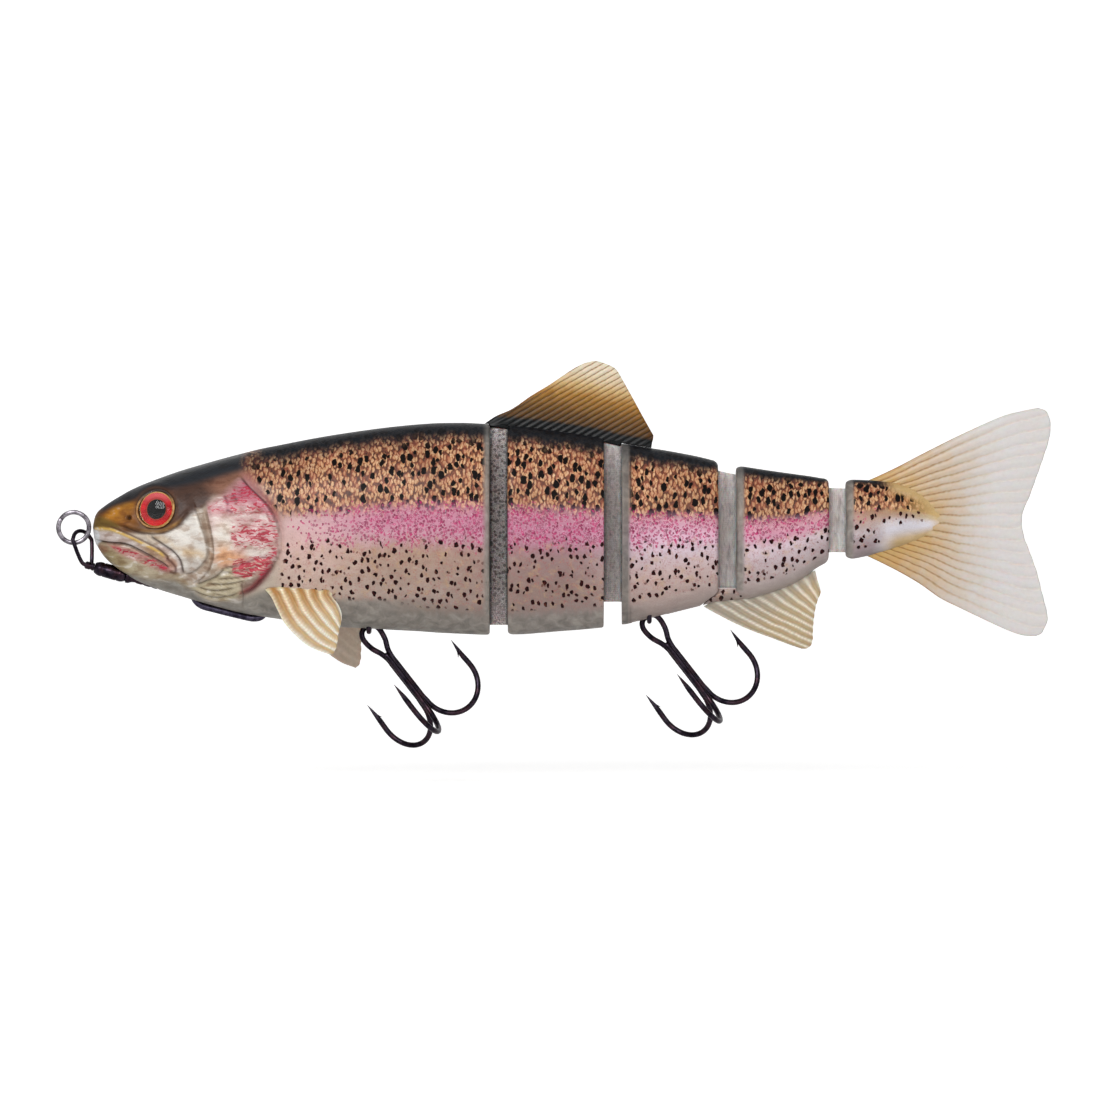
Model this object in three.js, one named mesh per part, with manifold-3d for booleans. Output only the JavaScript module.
// Jointed soft-plastic trout swimbait: five moulded body sections on woven joint
// webs, soft fins, through-wire harness with a line ring, and two treble hooks.
// Millimetres, +Z up. Nose points to -X, tail to +X, the fish's left side is -Y.
// Pieces are measured from the front of the nose (x = 0) and the mouth line
// (z = 0); the group is then shifted so that its bounding box is centred.
import * as THREE from 'three';
import { mergeVertices } from 'three/addons/utils/BufferGeometryUtils.js';
import Module from 'manifold-3d';

const wasm = await Module();
wasm.setup();
const { Manifold, Mesh: SolidMesh } = wasm;

const BOX_CENTRE = { x: 86.538, z: -4.614475 };
const SEAT = 0.3;             // clearance round pieces seated in the mouldings
const LEFT = -1;
const RIGHT = 1;

// ---------------------------------------------------------------- materials
const material = (settings) => new THREE.MeshStandardMaterial(settings);
const SKIN = material({ color: 0x9a6a4a, roughness: 0.38, metalness: 0 });
const SKIN_TAIL = material({ color: 0xa9824e, roughness: 0.4, metalness: 0 });
const FIN = material({ color: 0xd8c08a, roughness: 0.45, metalness: 0 });
const WEBBING = material({ color: 0x9a9a98, roughness: 0.8, metalness: 0 });
const BLACK_NICKEL = material({ color: 0x17141a, roughness: 0.25, metalness: 0.9 });
const STEEL = material({ color: 0xa8a4a6, roughness: 0.22, metalness: 1 });
const LEAD = material({ color: 0x6b6e72, roughness: 0.6, metalness: 0.7 });
const EYE_RED = material({ color: 0xc81420, roughness: 0.35, metalness: 0.2 });
const EYE_CLEAR = material({ color: 0xf2f2f2, roughness: 0.05, metalness: 0 });

// ---------------------------------------------------------------- body lines
// back line: [x, z]
const BACK = [
  [0, 1.5], [0.38, 2.54], [0.94, 3.48], [2.07, 4.42], [3.57, 5.45], [5.07, 6.35], [6.95, 7.42],
  [8.83, 8.3], [10.71, 9.06], [13.53, 10.11], [16.35, 11.09], [20.1, 12.21], [23.86, 13.28],
  [27.62, 14.28], [31.38, 15.22], [35.14, 15.97], [38.89, 16.72], [42.65, 17.42], [46.41, 18.04],
  [50.17, 18.6], [53.92, 19.11], [57.68, 19.54], [61.44, 19.88], [65.2, 20.1], [68.96, 20.14],
  [74.03, 19.92], [77.6, 19.63], [82.11, 19.26], [87.75, 18.51], [93.38, 17.66], [96.39, 17.0],
  [99.02, 16.35], [102.78, 15.69], [106.53, 15.13], [110.29, 14.47], [114.05, 13.72],
  [117.06, 12.96], [119.69, 12.34], [123.44, 11.74], [127.2, 11.16], [130.96, 10.63],
  [134.72, 10.11], [137.72, 9.66], [141.29, 9.51], [144.11, 9.43], [146.93, 9.3], [149.75, 9.02],
  [152.57, 8.36], [155.39, 6.95], [158.2, 4.89], [160.27, 2.82],
];
// belly line: [x, z]
const BELLY = [
  [0, -0.56], [0.28, -1.88], [0.94, -3.19], [1.88, -4.7], [3.19, -6.11], [5.07, -7.67],
  [6.95, -8.83], [8.83, -9.83], [10.71, -10.6], [12.59, -11.24], [14.47, -11.84], [16.35, -12.4],
  [18.23, -12.96], [20.1, -13.53], [21.98, -14.05], [23.86, -14.58], [27.62, -15.52],
  [31.38, -16.2], [35.14, -16.76], [38.89, -17.34], [42.65, -17.85], [46.41, -18.23],
  [50.17, -18.47], [53.92, -18.66], [57.68, -18.85], [61.44, -19.05], [65.2, -19.32],
  [68.96, -19.5], [74.03, -19.69], [77.6, -19.65], [80.23, -19.62], [83.99, -19.35],
  [87.75, -19.03], [91.5, -18.75], [96.39, -18.26], [99.39, -17.85], [102.78, -17.1],
  [106.53, -16.16], [110.29, -15.22], [114.05, -14.28], [117.06, -13.53], [120.63, -13.15],
  [123.44, -12.87], [127.2, -11.84], [130.96, -10.43], [133.78, -8.83], [135.85, -7.23],
  [137.72, -6.2], [139.42, -5.54], [142.61, -5.41], [145.05, -4.98], [147.87, -4.23],
  [151.63, -3.1], [155.39, -1.88], [158.2, -0.56], [160.27, 0.75],
];
// half width of the body: [x, y]
const HALF_WIDTH = [
  [0, 1.3], [0.4, 2.1], [1, 2.95], [2, 3.75], [3.5, 4.55], [6, 5.55], [10, 6.65], [15, 7.65],
  [20, 8.45], [28, 9.4], [38, 10.15], [50, 10.5], [62, 10.4], [74, 9.75], [86, 9.1], [97.5, 8.4],
  [108, 7.5], [119, 6.4], [130, 5.3], [140, 4.25], [148, 3.4], [155, 2.3], [160.27, 1.0],
];

// value of a body line at x, which has to lie within its table
function valueAt(line, x) {
  const next = Math.max(1, line.findIndex(([stationX]) => x <= stationX));
  const [x0, value0] = line[next - 1];
  const [x1, value1] = line[next];
  return value0 + (value1 - value0) * (x - x0) / (x1 - x0);
}

// side-view points given as [x, height above the line]
const follow = (line, points) => points.map(([x, rise]) => [x, valueAt(line, x) + rise]);

// ---------------------------------------------------------------- shape helpers
function solid(geometry) {
  for (const name of Object.keys(geometry.attributes)) {
    if (name !== 'position') geometry.deleteAttribute(name);
  }
  const merged = mergeVertices(geometry, 1e-4);
  return new Manifold(new SolidMesh({
    numProp: 3,
    vertProperties: new Float32Array(merged.attributes.position.array),
    triVerts: new Uint32Array(merged.index.array),
  }));
}

function geometryOf(body) {
  const mesh = body.getMesh();
  const geometry = new THREE.BufferGeometry();
  const positions = new Float32Array(mesh.vertProperties);
  geometry.setAttribute('position', new THREE.BufferAttribute(positions, 3));
  geometry.setIndex(new THREE.BufferAttribute(new Uint32Array(mesh.triVerts), 1));
  geometry.computeVertexNormals();
  return geometry;
}

const cut = (body, cutters) => cutters.reduce((rest, cutter) => rest.subtract(cutter), body);

const toVector2 = ([x, y]) => new THREE.Vector2(x, y);

const lathe = (profile, facets) => new THREE.LatheGeometry(profile.map(toVector2), facets);

// the points with negated first column, the middle ones, then the points in reverse
function mirrored(points, middle = []) {
  return [...points.map(([a, b]) => [-a, b]), ...middle, ...[...points].reverse()];
}

// a closed skin over a row of rings, with a fan over each end
function loft(rings) {
  const sides = rings[0].length;
  const middle = (ring) => ring.reduce(
    (sum, point) => sum.map((value, axis) => value + point[axis] / sides), [0, 0, 0]);
  const positions = [...rings.flat(), middle(rings[0]), middle(rings[rings.length - 1])].flat();
  const triangles = [];
  for (let i = 0; i + 1 < rings.length; i++) {
    for (let k = 0; k < sides; k++) {
      const a = i * sides + k;
      const b = i * sides + (k + 1) % sides;
      triangles.push(a, b, a + sides, b, b + sides, a + sides);
    }
  }
  const frontMiddle = rings.length * sides;
  const lastRing = (rings.length - 1) * sides;
  for (let k = 0; k < sides; k++) {
    const next = (k + 1) % sides;
    triangles.push(frontMiddle, next, k);
    triangles.push(frontMiddle + 1, lastRing + k, lastRing + next);
  }
  const geometry = new THREE.BufferGeometry();
  geometry.setAttribute('position', new THREE.Float32BufferAttribute(positions, 3));
  geometry.setIndex(triangles);
  return solid(geometry);
}

// a wire along a curve through points
function wire(points, radius, steps, sides, curveType = 'catmullrom') {
  const tension = 0.35;       // has effect on the 'catmullrom' type only
  const vectors = points.map((point) => new THREE.Vector3(...point));
  const path = new THREE.CatmullRomCurve3(vectors, false, curveType, tension);
  const corners = Array.from({ length: sides }, (_, k) => {
    const angle = 2 * Math.PI * k / sides;
    return new THREE.Vector2(radius * Math.cos(angle), radius * Math.sin(angle));
  });
  const disc = new THREE.Shape(corners);
  disc.closePath();
  const settings = { steps, bevelEnabled: false, extrudePath: path };
  return solid(new THREE.ExtrudeGeometry(disc, settings));
}

// turns a geometry's +Y to a direction and moves its origin to a point
function stand(geometry, origin, direction) {
  const turn = new THREE.Quaternion()
    .setFromUnitVectors(new THREE.Vector3(0, 1, 0), direction.clone().normalize());
  geometry.applyMatrix4(new THREE.Matrix4().makeRotationFromQuaternion(turn));
  geometry.translate(origin.x, origin.y, origin.z);
  return solid(geometry);
}

function taperedRod(from, to, startRadius, endRadius, sides) {
  const start = new THREE.Vector3(...from);
  const span = new THREE.Vector3(...to).sub(start);
  const length = span.length();
  const geometry = new THREE.CylinderGeometry(endRadius, startRadius, length, sides);
  geometry.translate(0, length / 2, 0);
  return stand(geometry, start, span);
}
const rod = (from, to, radius, sides) => taperedRod(from, to, radius, radius, sides);

// side-view outline grown outwards by a margin
function grown(outline, margin) {
  const count = outline.length;
  let doubleArea = 0;
  outline.forEach(([x0, z0], i) => {
    const [x1, z1] = outline[(i + 1) % count];
    doubleArea += x0 * z1 - x1 * z0;
  });
  const outward = (doubleArea > 0 ? 1 : -1) * margin;
  return outline.map(([x, z], i) => {
    const before = outline[(i + count - 1) % count];
    const after = outline[(i + 1) % count];
    const shift = new THREE.Vector2(after[1] - before[1], -(after[0] - before[0]))
      .normalize()
      .multiplyScalar(outward);
    return [x + shift.x, z + shift.y];
  });
}

// a flat plate in the plane of the side view, centred on y = 0
function plateGeometry(outline, thick) {
  const shape = new THREE.Shape(outline.map(toVector2));
  const settings = { depth: thick, steps: 1, bevelEnabled: false };
  const geometry = new THREE.ExtrudeGeometry(shape, settings);
  geometry.rotateX(Math.PI / 2);
  geometry.translate(0, thick / 2, 0);
  return geometry;
}

// ---------------------------------------------------------------- joints and webs
// front to back: yaw axis, width of the open gap, height of the web's lower edge
const JOINTS = [
  { x: 76.24, gap: 3.4, webFoot: -17.85 },
  { x: 97.65, gap: 3.4, webFoot: -13.5 },
  { x: 119.1, gap: 3.4, webFoot: -10.9 },
  { x: 139.8, gap: 3.2, webFoot: -4.2 },
].map((joint) => ({
  ...joint,
  frontFace: joint.x - joint.gap / 2,
  backFace: joint.x + joint.gap / 2,
}));
const WEB = {
  thick: 0.6,
  tab: 4.0,                   // how far it is moulded into each section
  drop: 1.6,                  // upper edge below the back line
};

function web({ frontFace, backFace, webFoot }, grow = 0) {
  const front = frontFace - WEB.tab - grow;
  const back = backFace + WEB.tab + grow;
  const foot = webFoot - grow;
  const top = [back, backFace, frontFace, front].map((x) => [x, grow - WEB.drop]);
  const outline = [[front, foot], [back, foot], ...follow(BACK, top)];
  return solid(plateGeometry(outline, WEB.thick + 2 * grow));
}

// ---------------------------------------------------------------- fins
const FIN_THICK = 1.2;

const finGeometry = (outline, grow) => plateGeometry(grown(outline, grow), FIN_THICK + 2 * grow);
const fin = (outline, grow = 0) => solid(finGeometry(outline, grow));

// All fin outlines are [x, z]. Free edge of the dorsal fin, front to back:
const DORSAL_EDGE = [
  [72.9, 20.6], [75.72, 21.31], [78.82, 22.73], [82.3, 25.18], [85.77, 27.24], [89.94, 30.06],
  [92.37, 31.38], [94.45, 31.75], [96.54, 31.21], [98.27, 30.34], [99.68, 27.92], [101.41, 24.8],
  [103.49, 20.97], [105.5, 17.66], [105.1, 16.2],
];
// free edge of the anal fin, front to back
const ANAL_EDGE = [
  [114.24, -14.75], [115.93, -15.13], [117.81, -16.06], [119.69, -17.06], [121.57, -18.04],
  [123.44, -18.79], [127.2, -20.16], [130.96, -21.61], [132.84, -22.27], [133.97, -22.32],
  [134.81, -21.89], [135.19, -20.86], [135.28, -18.79], [135.47, -16.53], [135.94, -13.9],
  [136.97, -11.56],
];
const TAIL = [
  [145.62, 9.39], [147.87, 10.43], [151.63, 12.21], [155.39, 14.09], [162.9, 17.85],
  [170.42, 21.23], [174.18, 22.27], [176.99, 22.92], [178.31, 22.92], [179.25, 22.17],
  [179.81, 20.67], [180.0, 18.79], [179.62, 16.91], [178.68, 13.9], [177.37, 10.15],
  [175.87, 6.01], [174.93, 3.95], [174.55, 1.69], [174.93, -1.13], [176.19, -4.51],
  [177.37, -7.89], [178.31, -11.65], [179.25, -15.41], [179.34, -16.91], [178.87, -18.41],
  [178.12, -19.35], [176.81, -19.92], [174.36, -19.73], [170.42, -18.23], [162.9, -14.66],
  [159.14, -12.78], [155.39, -10.15], [151.63, -7.89], [148.81, -6.39], [145.62, -4.9],
];
const PECTORAL_LEFT = {
  side: LEFT,
  outline: [
    [33.3, -9.6], [32.5, -12.6], [34.4, -13.9], [37.0, -16.0], [40.0, -18.9], [42.7, -21.3],
    [45.1, -23.3], [46.1, -22.6], [46.6, -19.4], [47.2, -16.2], [46.6, -13.6], [44.9, -12.1],
    [44.0, -9.6],
  ],
};
const PECTORAL_RIGHT = {
  side: RIGHT,
  outline: [
    [34.3, -9.6], [33.5, -12.6], [35.8, -15.0], [39.4, -18.0], [43.0, -21.6], [46.6, -24.9],
    [49.0, -26.3], [49.9, -25.0], [50.0, -21.6], [50.3, -18.4], [49.0, -15.2], [46.2, -12.6],
    [45.0, -9.6],
  ],
};
// y and z where a pectoral leaves the flank, and how far its tip stands out from there
const PECTORAL = { y: 8.1, z: -12.0, reach: 7.0 };

// ribs of the fin's foot close the top of the first two gaps
function dorsalOutline() {
  const lift = 0.35;          // foot above the back line
  const ribDepth = 1.25;
  const ribHalf = 1.25;       // half a rib's length along x
  const keyDepth = 2.6;       // block let into the section below the fin
  const [keyFront, keyBack] = [83.2, 90.4];
  const rib = ({ x }) => [
    [x + ribHalf, lift], [x + ribHalf, -ribDepth], [x - ribHalf, -ribDepth], [x - ribHalf, lift],
  ];
  const foot = [
    [104.9, lift], [102, lift], ...rib(JOINTS[1]), [93, lift],
    [keyBack, lift], [keyBack, -keyDepth], [keyFront, -keyDepth], [keyFront, lift],
    [80, lift], ...rib(JOINTS[0]), [73.4, lift],
  ];
  return [...DORSAL_EDGE, ...follow(BACK, foot)];
}

function analOutline() {
  const backDrop = 0.35;      // foot below the belly line, behind the key
  const frontDrop = 0.4;      // and in front of it
  const keyDepth = 2.4;       // block let into the belly
  const [keyFront, keyBack] = [126, 132];
  const foot = [
    ...[135.4, 134, keyBack].map((x) => [x, -backDrop]),
    [keyBack, keyDepth], [keyFront, keyDepth],
    ...[keyFront, 123, 120.63, 118.5, 117.06].map((x) => [x, -frontDrop]),
  ];
  return [...ANAL_EDGE, ...follow(BELLY, foot)];
}

// a fin plate leaned outwards as it drops
function pectoral({ side, outline }, grow = 0) {
  const tipZ = Math.min(...outline.map(([, z]) => z));
  const slope = PECTORAL.reach / (PECTORAL.z - tipZ);
  const lean = new THREE.Matrix4().set(
    1, 0, 0, 0,
    0, 1, -side * slope, side * (PECTORAL.y + PECTORAL.z * slope),
    0, 0, 1, 0,
    0, 0, 0, 1);
  return solid(finGeometry(outline, grow).applyMatrix4(lean));
}

// ---------------------------------------------------------------- eyes
const EYE = {
  x: 12.31, y: 6.05, z: 3.85,
  radius: 3.35,
  sunk: 0.9,                  // socket floor inwards of x, y, z
  discThick: 0.7,
  lensBase: 1.08,             // above the disc's underside
  socketDepth: 8,
  facets: 28,
};
// lens profile: [fraction of the eye radius, height]
const LENS = [[0, 0], [1, 0], [0.96, 0.45], [0.8, 0.95], [0.5, 1.4], [0.22, 1.6], [0, 1.64]];

function eyeParts(side) {
  const outward = new THREE.Vector3(-0.3, side, 0.14).normalize();
  const floor = new THREE.Vector3(EYE.x, side * EYE.y, EYE.z).addScaledVector(outward, -EYE.sunk);
  const cylinder = (radius, height, base) => new THREE
    .CylinderGeometry(radius, radius, height, EYE.facets)
    .translate(0, height / 2 + base, 0);
  const lens = lathe(LENS.map(([part, height]) => [EYE.radius * part, height]), EYE.facets);
  lens.translate(0, EYE.lensBase + SEAT, 0);
  return {
    disc: stand(cylinder(EYE.radius, EYE.discThick, SEAT), floor, outward),
    lens: stand(lens, floor, outward),
    socket: stand(cylinder(EYE.radius + SEAT, EYE.socketDepth, 0), floor, outward),
  };
}

// ---------------------------------------------------------------- line ring and swivel
const RING = { x: -3.62, z: 0.47, radius: 2.87, wire: 0.45, facets: 32 };
const LINK = {
  x: -1.72, z: -3.35, wire: 0.38,
  halfLong: 3.25, halfWide: 2.15,
  turn: 0.72,                 // of its width from x towards y, radians
  lean: 0.2,                  // of its lower end towards the tail, radians
};
const BARREL = {
  x: 0.3, z: -7.0, slope: 0.276,   // front end, and fall towards the tail in radians
  length: 6.2, radius: 1.35,
  endRadius: 0.95, taper: 0.9,     // narrowed ends
};
const SLEEVE = { start: BARREL.length + 0.4, end: 12.5, radius: 0.8 };  // along the barrel axis

const barrelDirection = new THREE.Vector3(Math.cos(BARREL.slope), 0, -Math.sin(BARREL.slope));
const barrelAt = (distance) => [
  BARREL.x + barrelDirection.x * distance, 0, BARREL.z + barrelDirection.z * distance,
];

function splitRing() {
  const full = RING.wire;
  const flat = full * 0.6;    // half of each flat; the corners between are chamfered
  const profile = [
    [-full, -flat], [-flat, -full], [flat, -full], [full, -flat],
    [full, flat], [flat, full], [-flat, full], [-full, flat], [-full, -flat],
  ].map(([out, y]) => [RING.radius + out, y]);
  const ring = lathe(profile, RING.facets);
  ring.rotateY(Math.PI / RING.facets);
  ring.translate(RING.x, 0, RING.z);
  return solid(ring);
}

// swivel link: a bent wire eye rising from the barrel and passing through the ring
function swivelEye() {
  const axis = new THREE.Vector3(Math.sin(LINK.lean), 0, -Math.cos(LINK.lean));
  const across = new THREE.Vector3(Math.cos(LINK.turn), Math.sin(LINK.turn), 0);
  const linkPoint = (down, out) => new THREE.Vector3(LINK.x, 0, LINK.z)
    .addScaledVector(axis, down)
    .addScaledVector(across, out)
    .toArray();
  const [rootX, , rootZ] = barrelAt(-1.5);
  const leg = (side) => [
    [rootX + 0.5, side * 0.34, rootZ - 0.1],
    linkPoint(LINK.halfLong - 0.55, side * LINK.halfWide * 0.55),
  ];
  const bow = [];
  for (let k = 0; k <= 8; k++) {
    const angle = Math.PI * k / 8;
    const down = -(LINK.halfLong - LINK.halfWide) - LINK.halfWide * Math.sin(angle);
    bow.push(linkPoint(down, LINK.halfWide * Math.cos(angle)));
  }
  const loop = wire([...leg(1), ...bow, ...leg(-1).reverse()], LINK.wire, 30, 7);
  return loop.add(rod(barrelAt(-1.75), barrelAt(-0.35), 0.72, 14));
}

function barrel(grow = 0) {
  const radius = BARREL.radius + grow;
  const endRadius = BARREL.endRadius + grow;
  const profile = [
    [0, -grow], [endRadius, -grow],
    [radius, BARREL.taper], [radius, BARREL.length - BARREL.taper],
    [endRadius, BARREL.length + grow], [0, BARREL.length + grow],
  ];
  return stand(lathe(profile, 20), new THREE.Vector3(...barrelAt(0)), barrelDirection);
}

const sleeve = (start, end, radius) => rod(barrelAt(start), barrelAt(end), radius, 16);

// ---------------------------------------------------------------- wires and ballast inside
// wire paths: [x, y, z]; the bore runs past both ends of the through wire
const THROUGH_MIDDLE = [[17, 0, -9.6], [30, 0, -9.6], [42, 0, -12.0]];
const THROUGH_WIRE = [[12.9, 0, -10.55], ...THROUGH_MIDDLE, [50.2, 0, -13.6]];
const THROUGH_BORE = [[12.2, 0, -10.35], ...THROUGH_MIDDLE, [51.6, 0, -13.9]];
const STAPLE = [
  [18.9, 0, -11.6], [19.1, 0, -13.1], [20.4, 0, -14.35], [23, 0, -15.1],
  [27, 0, -16.1], [30.2, 0, -16.75], [31.9, 0, -16.2], [32.1, 0, -14.6],
];
const THROUGH_RADIUS = 0.5;
const STAPLE_RADIUS = 0.6;
const BALLAST = { z: -10.5, radius: 3.0 };

const throughWire = (path, grow = 0) => wire(path, THROUGH_RADIUS + grow, 12, 7);
const staple = (grow = 0) => wire(STAPLE, STAPLE_RADIUS + grow, 16, 7);
const ballast = (front, back, grow = 0) => rod(
  [front, 0, BALLAST.z], [back, 0, BALLAST.z], BALLAST.radius + grow, 20);

// ---------------------------------------------------------------- hook hangers
// lowest point of each hanger's wire axis, which is also its hook's pivot
const FRONT_HANGER = { x: 51.86, z: -19.07 };
const REAR_HANGER = { x: 104.52, z: -17.12 };
const HANGER_WIRE = 0.45;
// one side of the hanger: [y, height above its lowest point]
const HANGER_SIDE = [[1.2, 6.6], [2.1, 5.8], [2.1, 3], [2.1, 0.7], [1.4, 0]];

function hanger({ x, z }) {
  const points = mirrored(HANGER_SIDE).map(([y, rise]) => [x, y, z + rise]);
  return wire(points, HANGER_WIRE, 22, 6);
}

// open mouth in the belly with a narrow slot above it
function hangerPocket({ x, z }) {
  const block = (halfLength, bottom, top) => solid(new THREE
    .BoxGeometry(2 * halfLength, 5.9, top - bottom)
    .translate(x, 0, z + (bottom + top) / 2));
  return block(3.5, -3, 2.75).add(block(0.9, 2.5, 7.6));
}

// ---------------------------------------------------------------- treble hooks
// down is measured along the shank from the pivot, out is away from the shank axis
const HOOK = {
  wire: 0.48,
  eyeHalf: 1.8, eyeTop: -1.0,
  junction: 5.2,              // foot of the eye
  tip: 10.7, bottom: 22.7,    // down to the points and to the lowest part of the bends
  gape: 11.8,                 // out to the points
  root: 0.42,                 // out to each arm's wire where it lies along the shank
  azimuths: [20, 140, -100],  // degrees
  lean: 0.6624,               // swing towards the tail, radians
};
const BEND_RADIUS = HOOK.gape / 2;
const BEND_START = HOOK.bottom - BEND_RADIUS;

function hookArm(degrees) {
  const azimuth = degrees * Math.PI / 180;
  const place = ([down, out]) => [out * Math.cos(azimuth), out * Math.sin(azimuth), -down];
  const { root, gape, tip } = HOOK;
  const bendRoot = root + 0.12;
  const path = [[BEND_START - 2.4, root], [BEND_START - 1.2, root], [BEND_START, bendRoot]];
  for (let k = 1; k <= 7; k++) {
    const angle = Math.PI * k / 8;
    path.push([
      BEND_START + BEND_RADIUS * Math.sin(angle),
      bendRoot + (gape - bendRoot) * (1 - Math.cos(angle)) / 2,
    ]);
  }
  path.push([BEND_START - 0.2, gape], [tip + 3.6, gape - 0.15]);
  const spike = (from, to, ...sizes) => taperedRod(place(from), place(to), ...sizes);
  const point = spike([tip + 3.9, gape - 0.15], [tip, gape], HOOK.wire * 1.02, 0.04, 6);
  // the barb runs back towards the bend on the inner side of the point
  const barb = spike([tip + 1.9, gape - 0.1], [tip + 3.5, gape - 1.05], 0.26, 0.03, 4);
  return wire(path.map(place), HOOK.wire, 20, 6, 'centripetal').add(point).add(barb);
}

// tear-drop eye at the top of the shank, in the plane of the swing
function hookEye() {
  const { eyeHalf, eyeTop, junction } = HOOK;
  const side = [
    [0.35, junction + 0.6], [0.62, junction - 0.5], [1.5, 3.0],
    [eyeHalf, 1.2], [eyeHalf * 0.9, 0], [eyeHalf * 0.55, eyeTop + 0.22],
  ];
  const points = mirrored(side, [[0, eyeTop]]).map(([x, down]) => [x, 0, -down]);
  return wire(points, HOOK.wire, 30, 6, 'centripetal');
}

function trebleHook() {
  const arms = HOOK.azimuths.map(hookArm).reduce((body, arm) => body.add(arm));
  const shank = rod([0, 0, -(HOOK.junction - 0.4)], [0, 0, -(BEND_START - 0.3)], 0.88, 9);
  return arms.add(shank).add(hookEye());
}

// ---------------------------------------------------------------- body sections
const RING_SIDES = 30;        // points round each body cross-section
const BEVEL = {
  depth: 0.8,
  rear: 0.9,                  // length on the section in front of a joint
  front: 1.5,                 // length on the section behind a joint
};
// lip of the rear section, turned about the third joint's axis
const CHIN = { top: -11.4, topRadius: 3.0, bottom: -15.6, bottomRadius: 5.4, clearance: 0.35 };

// one oval cross-section; inset draws it in towards its middle
function crossSection(x, inset = 0) {
  const top = valueAt(BACK, x) - inset;
  const bottom = valueAt(BELLY, x) + inset;
  const halfWidth = valueAt(HALF_WIDTH, x) - inset;
  const widest = (top + bottom) / 2 + 0.04 * (top - bottom);
  // exponents below 1 make the oval fuller than an ellipse
  const fuller = (value, exponent) => Math.sign(value) * Math.abs(value) ** exponent;
  return Array.from({ length: RING_SIDES }, (_, k) => {
    const angle = 2 * Math.PI * k / RING_SIDES;
    const sine = Math.sin(angle);
    const halfHeight = sine > 0 ? top - widest : widest - bottom;
    const y = halfWidth * fuller(Math.cos(angle), 0.9);
    return [x, y, widest + halfHeight * fuller(sine, 0.95)];
  });
}

// the body between two joints, bevelled at each; null where it has no joint
function bodySection(frontJoint, rearJoint, stations) {
  const rings = stations.map((x) => crossSection(x));
  if (frontJoint) {
    const x = frontJoint.backFace;
    rings.unshift(crossSection(x, BEVEL.depth), crossSection(x + BEVEL.front));
  }
  if (rearJoint) {
    const x = rearJoint.frontFace;
    rings.push(crossSection(x - BEVEL.rear), crossSection(x, BEVEL.depth));
  }
  return loft(rings);
}

function chinCone(grow = 0) {
  const height = CHIN.top - CHIN.bottom + grow;
  const cone = new THREE.CylinderGeometry(
    CHIN.topRadius + grow, CHIN.bottomRadius + grow, height, 36);
  cone.rotateX(Math.PI / 2);
  cone.translate(JOINTS[2].x, 0, CHIN.top + grow - height / 2);
  return solid(cone);
}

const eyeLeft = eyeParts(LEFT);
const eyeRight = eyeParts(RIGHT);
const webCuts = JOINTS.map((joint) => web(joint, SEAT));

function headSection() {
  const stations = [0, 0.4, 1, 2, 3.5, 5.5, 8, 11.5, 16, 21, 28, 37, 48, 58, 66];
  return cut(bodySection(null, JOINTS[0], stations), [
    webCuts[0],
    eyeLeft.socket,
    eyeRight.socket,
    barrel(SEAT),
    sleeve(SLEEVE.start - 0.6, SLEEVE.end + 0.3, SLEEVE.radius + SEAT),
    throughWire(THROUGH_BORE, SEAT),
    staple(SEAT),
    ballast(55.2, 76, SEAT),
    hangerPocket(FRONT_HANGER),
    pectoral(PECTORAL_LEFT, SEAT),
    pectoral(PECTORAL_RIGHT, SEAT),
  ]);
}

function midSectionFront() {
  return cut(bodySection(JOINTS[0], JOINTS[1], [83, 89]),
    [webCuts[0], webCuts[1], fin(dorsalOutline(), SEAT)]);
}

// the belly is cut away at the back for the rear section's lip
function midSectionRear() {
  return cut(bodySection(JOINTS[1], JOINTS[2], [105, 111]),
    [webCuts[1], webCuts[2], hangerPocket(REAR_HANGER), chinCone(CHIN.clearance)]);
}

// a lip runs forward from this section under the one in front
function rearSection() {
  const belly = loft([113, 115, 117, 119, 121, 123].map((x) => crossSection(x)));
  const chin = belly.intersect(chinCone());
  return cut(bodySection(JOINTS[2], JOINTS[3], [125, 128.5, 132, 135]).add(chin),
    [webCuts[2], webCuts[3], fin(analOutline(), SEAT)]);
}

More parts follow.
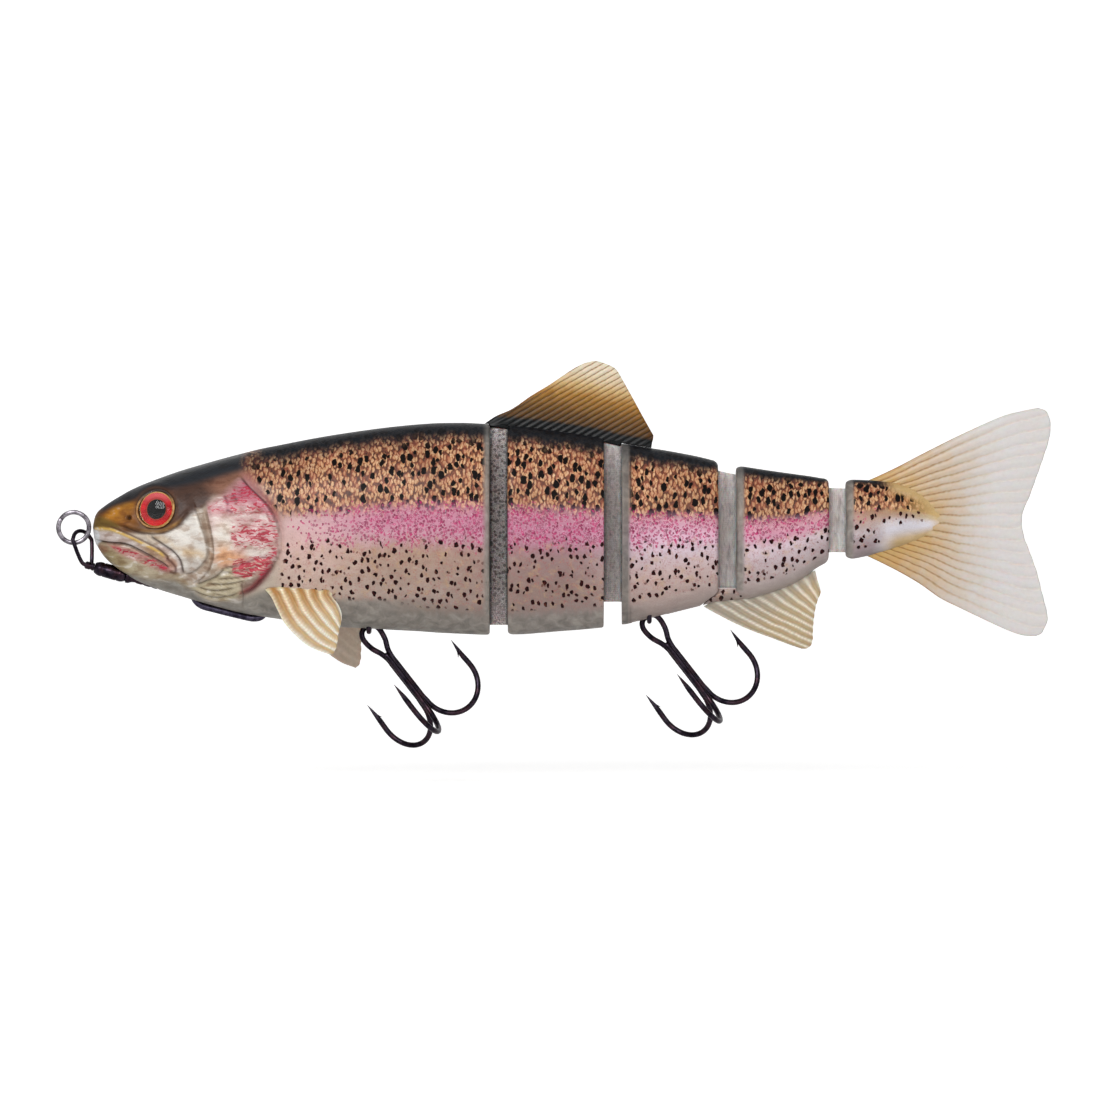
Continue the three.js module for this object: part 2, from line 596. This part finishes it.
function tailSection() {
  const stations = [144.5, 147, 150, 153, 156, 158.5, 160.27];
  return cut(bodySection(JOINTS[3], null, stations).add(fin(TAIL)), [webCuts[3]]);
}

// ---------------------------------------------------------------- assembly
const object = new THREE.Group();
object.name = 'swimbait';
object.position.set(-BOX_CENTRE.x, 0, -BOX_CENTRE.z);

function add(name, body, surface) {
  const mesh = new THREE.Mesh(geometryOf(body), surface);
  mesh.name = name;
  object.add(mesh);
  return mesh;
}

add('head_section', headSection(), SKIN);
add('mid_section_front', midSectionFront(), SKIN);
add('mid_section_rear', midSectionRear(), SKIN);
add('rear_section', rearSection(), SKIN);
add('tail_section', tailSection(), SKIN_TAIL);
JOINTS.forEach((joint, i) => add(`joint_mesh_${i + 1}`, web(joint), WEBBING));

add('dorsal_fin', fin(dorsalOutline()), FIN);
add('anal_fin', fin(analOutline()), FIN);
add('pectoral_fin_left', pectoral(PECTORAL_LEFT), FIN);
add('pectoral_fin_right', pectoral(PECTORAL_RIGHT), FIN);

add('eye_disc_left', eyeLeft.disc, EYE_RED);
add('eye_disc_right', eyeRight.disc, EYE_RED);
add('eye_lens_left', eyeLeft.lens, EYE_CLEAR);
add('eye_lens_right', eyeRight.lens, EYE_CLEAR);

add('split_ring', splitRing(), STEEL);
add('swivel_eye', swivelEye(), BLACK_NICKEL);
add('swivel_barrel', barrel(), BLACK_NICKEL);
add('harness_sleeve', sleeve(SLEEVE.start, SLEEVE.end, SLEEVE.radius), BLACK_NICKEL);
add('through_wire', throughWire(THROUGH_WIRE), STEEL);
add('belly_staple', staple(), BLACK_NICKEL);
add('ballast_weight', ballast(55.6, 70.5), LEAD);
add('front_hook_hanger', hanger(FRONT_HANGER), BLACK_NICKEL);
add('rear_hook_hanger', hanger(REAR_HANGER), BLACK_NICKEL);

const treble = trebleHook();
for (const [name, { x, z }] of [
  ['front_treble_hook', FRONT_HANGER],
  ['rear_treble_hook', REAR_HANGER],
]) {
  const mesh = add(name, treble, BLACK_NICKEL);
  mesh.position.set(x, 0, z);
  mesh.rotation.y = -HOOK.lean;
}

export default object;
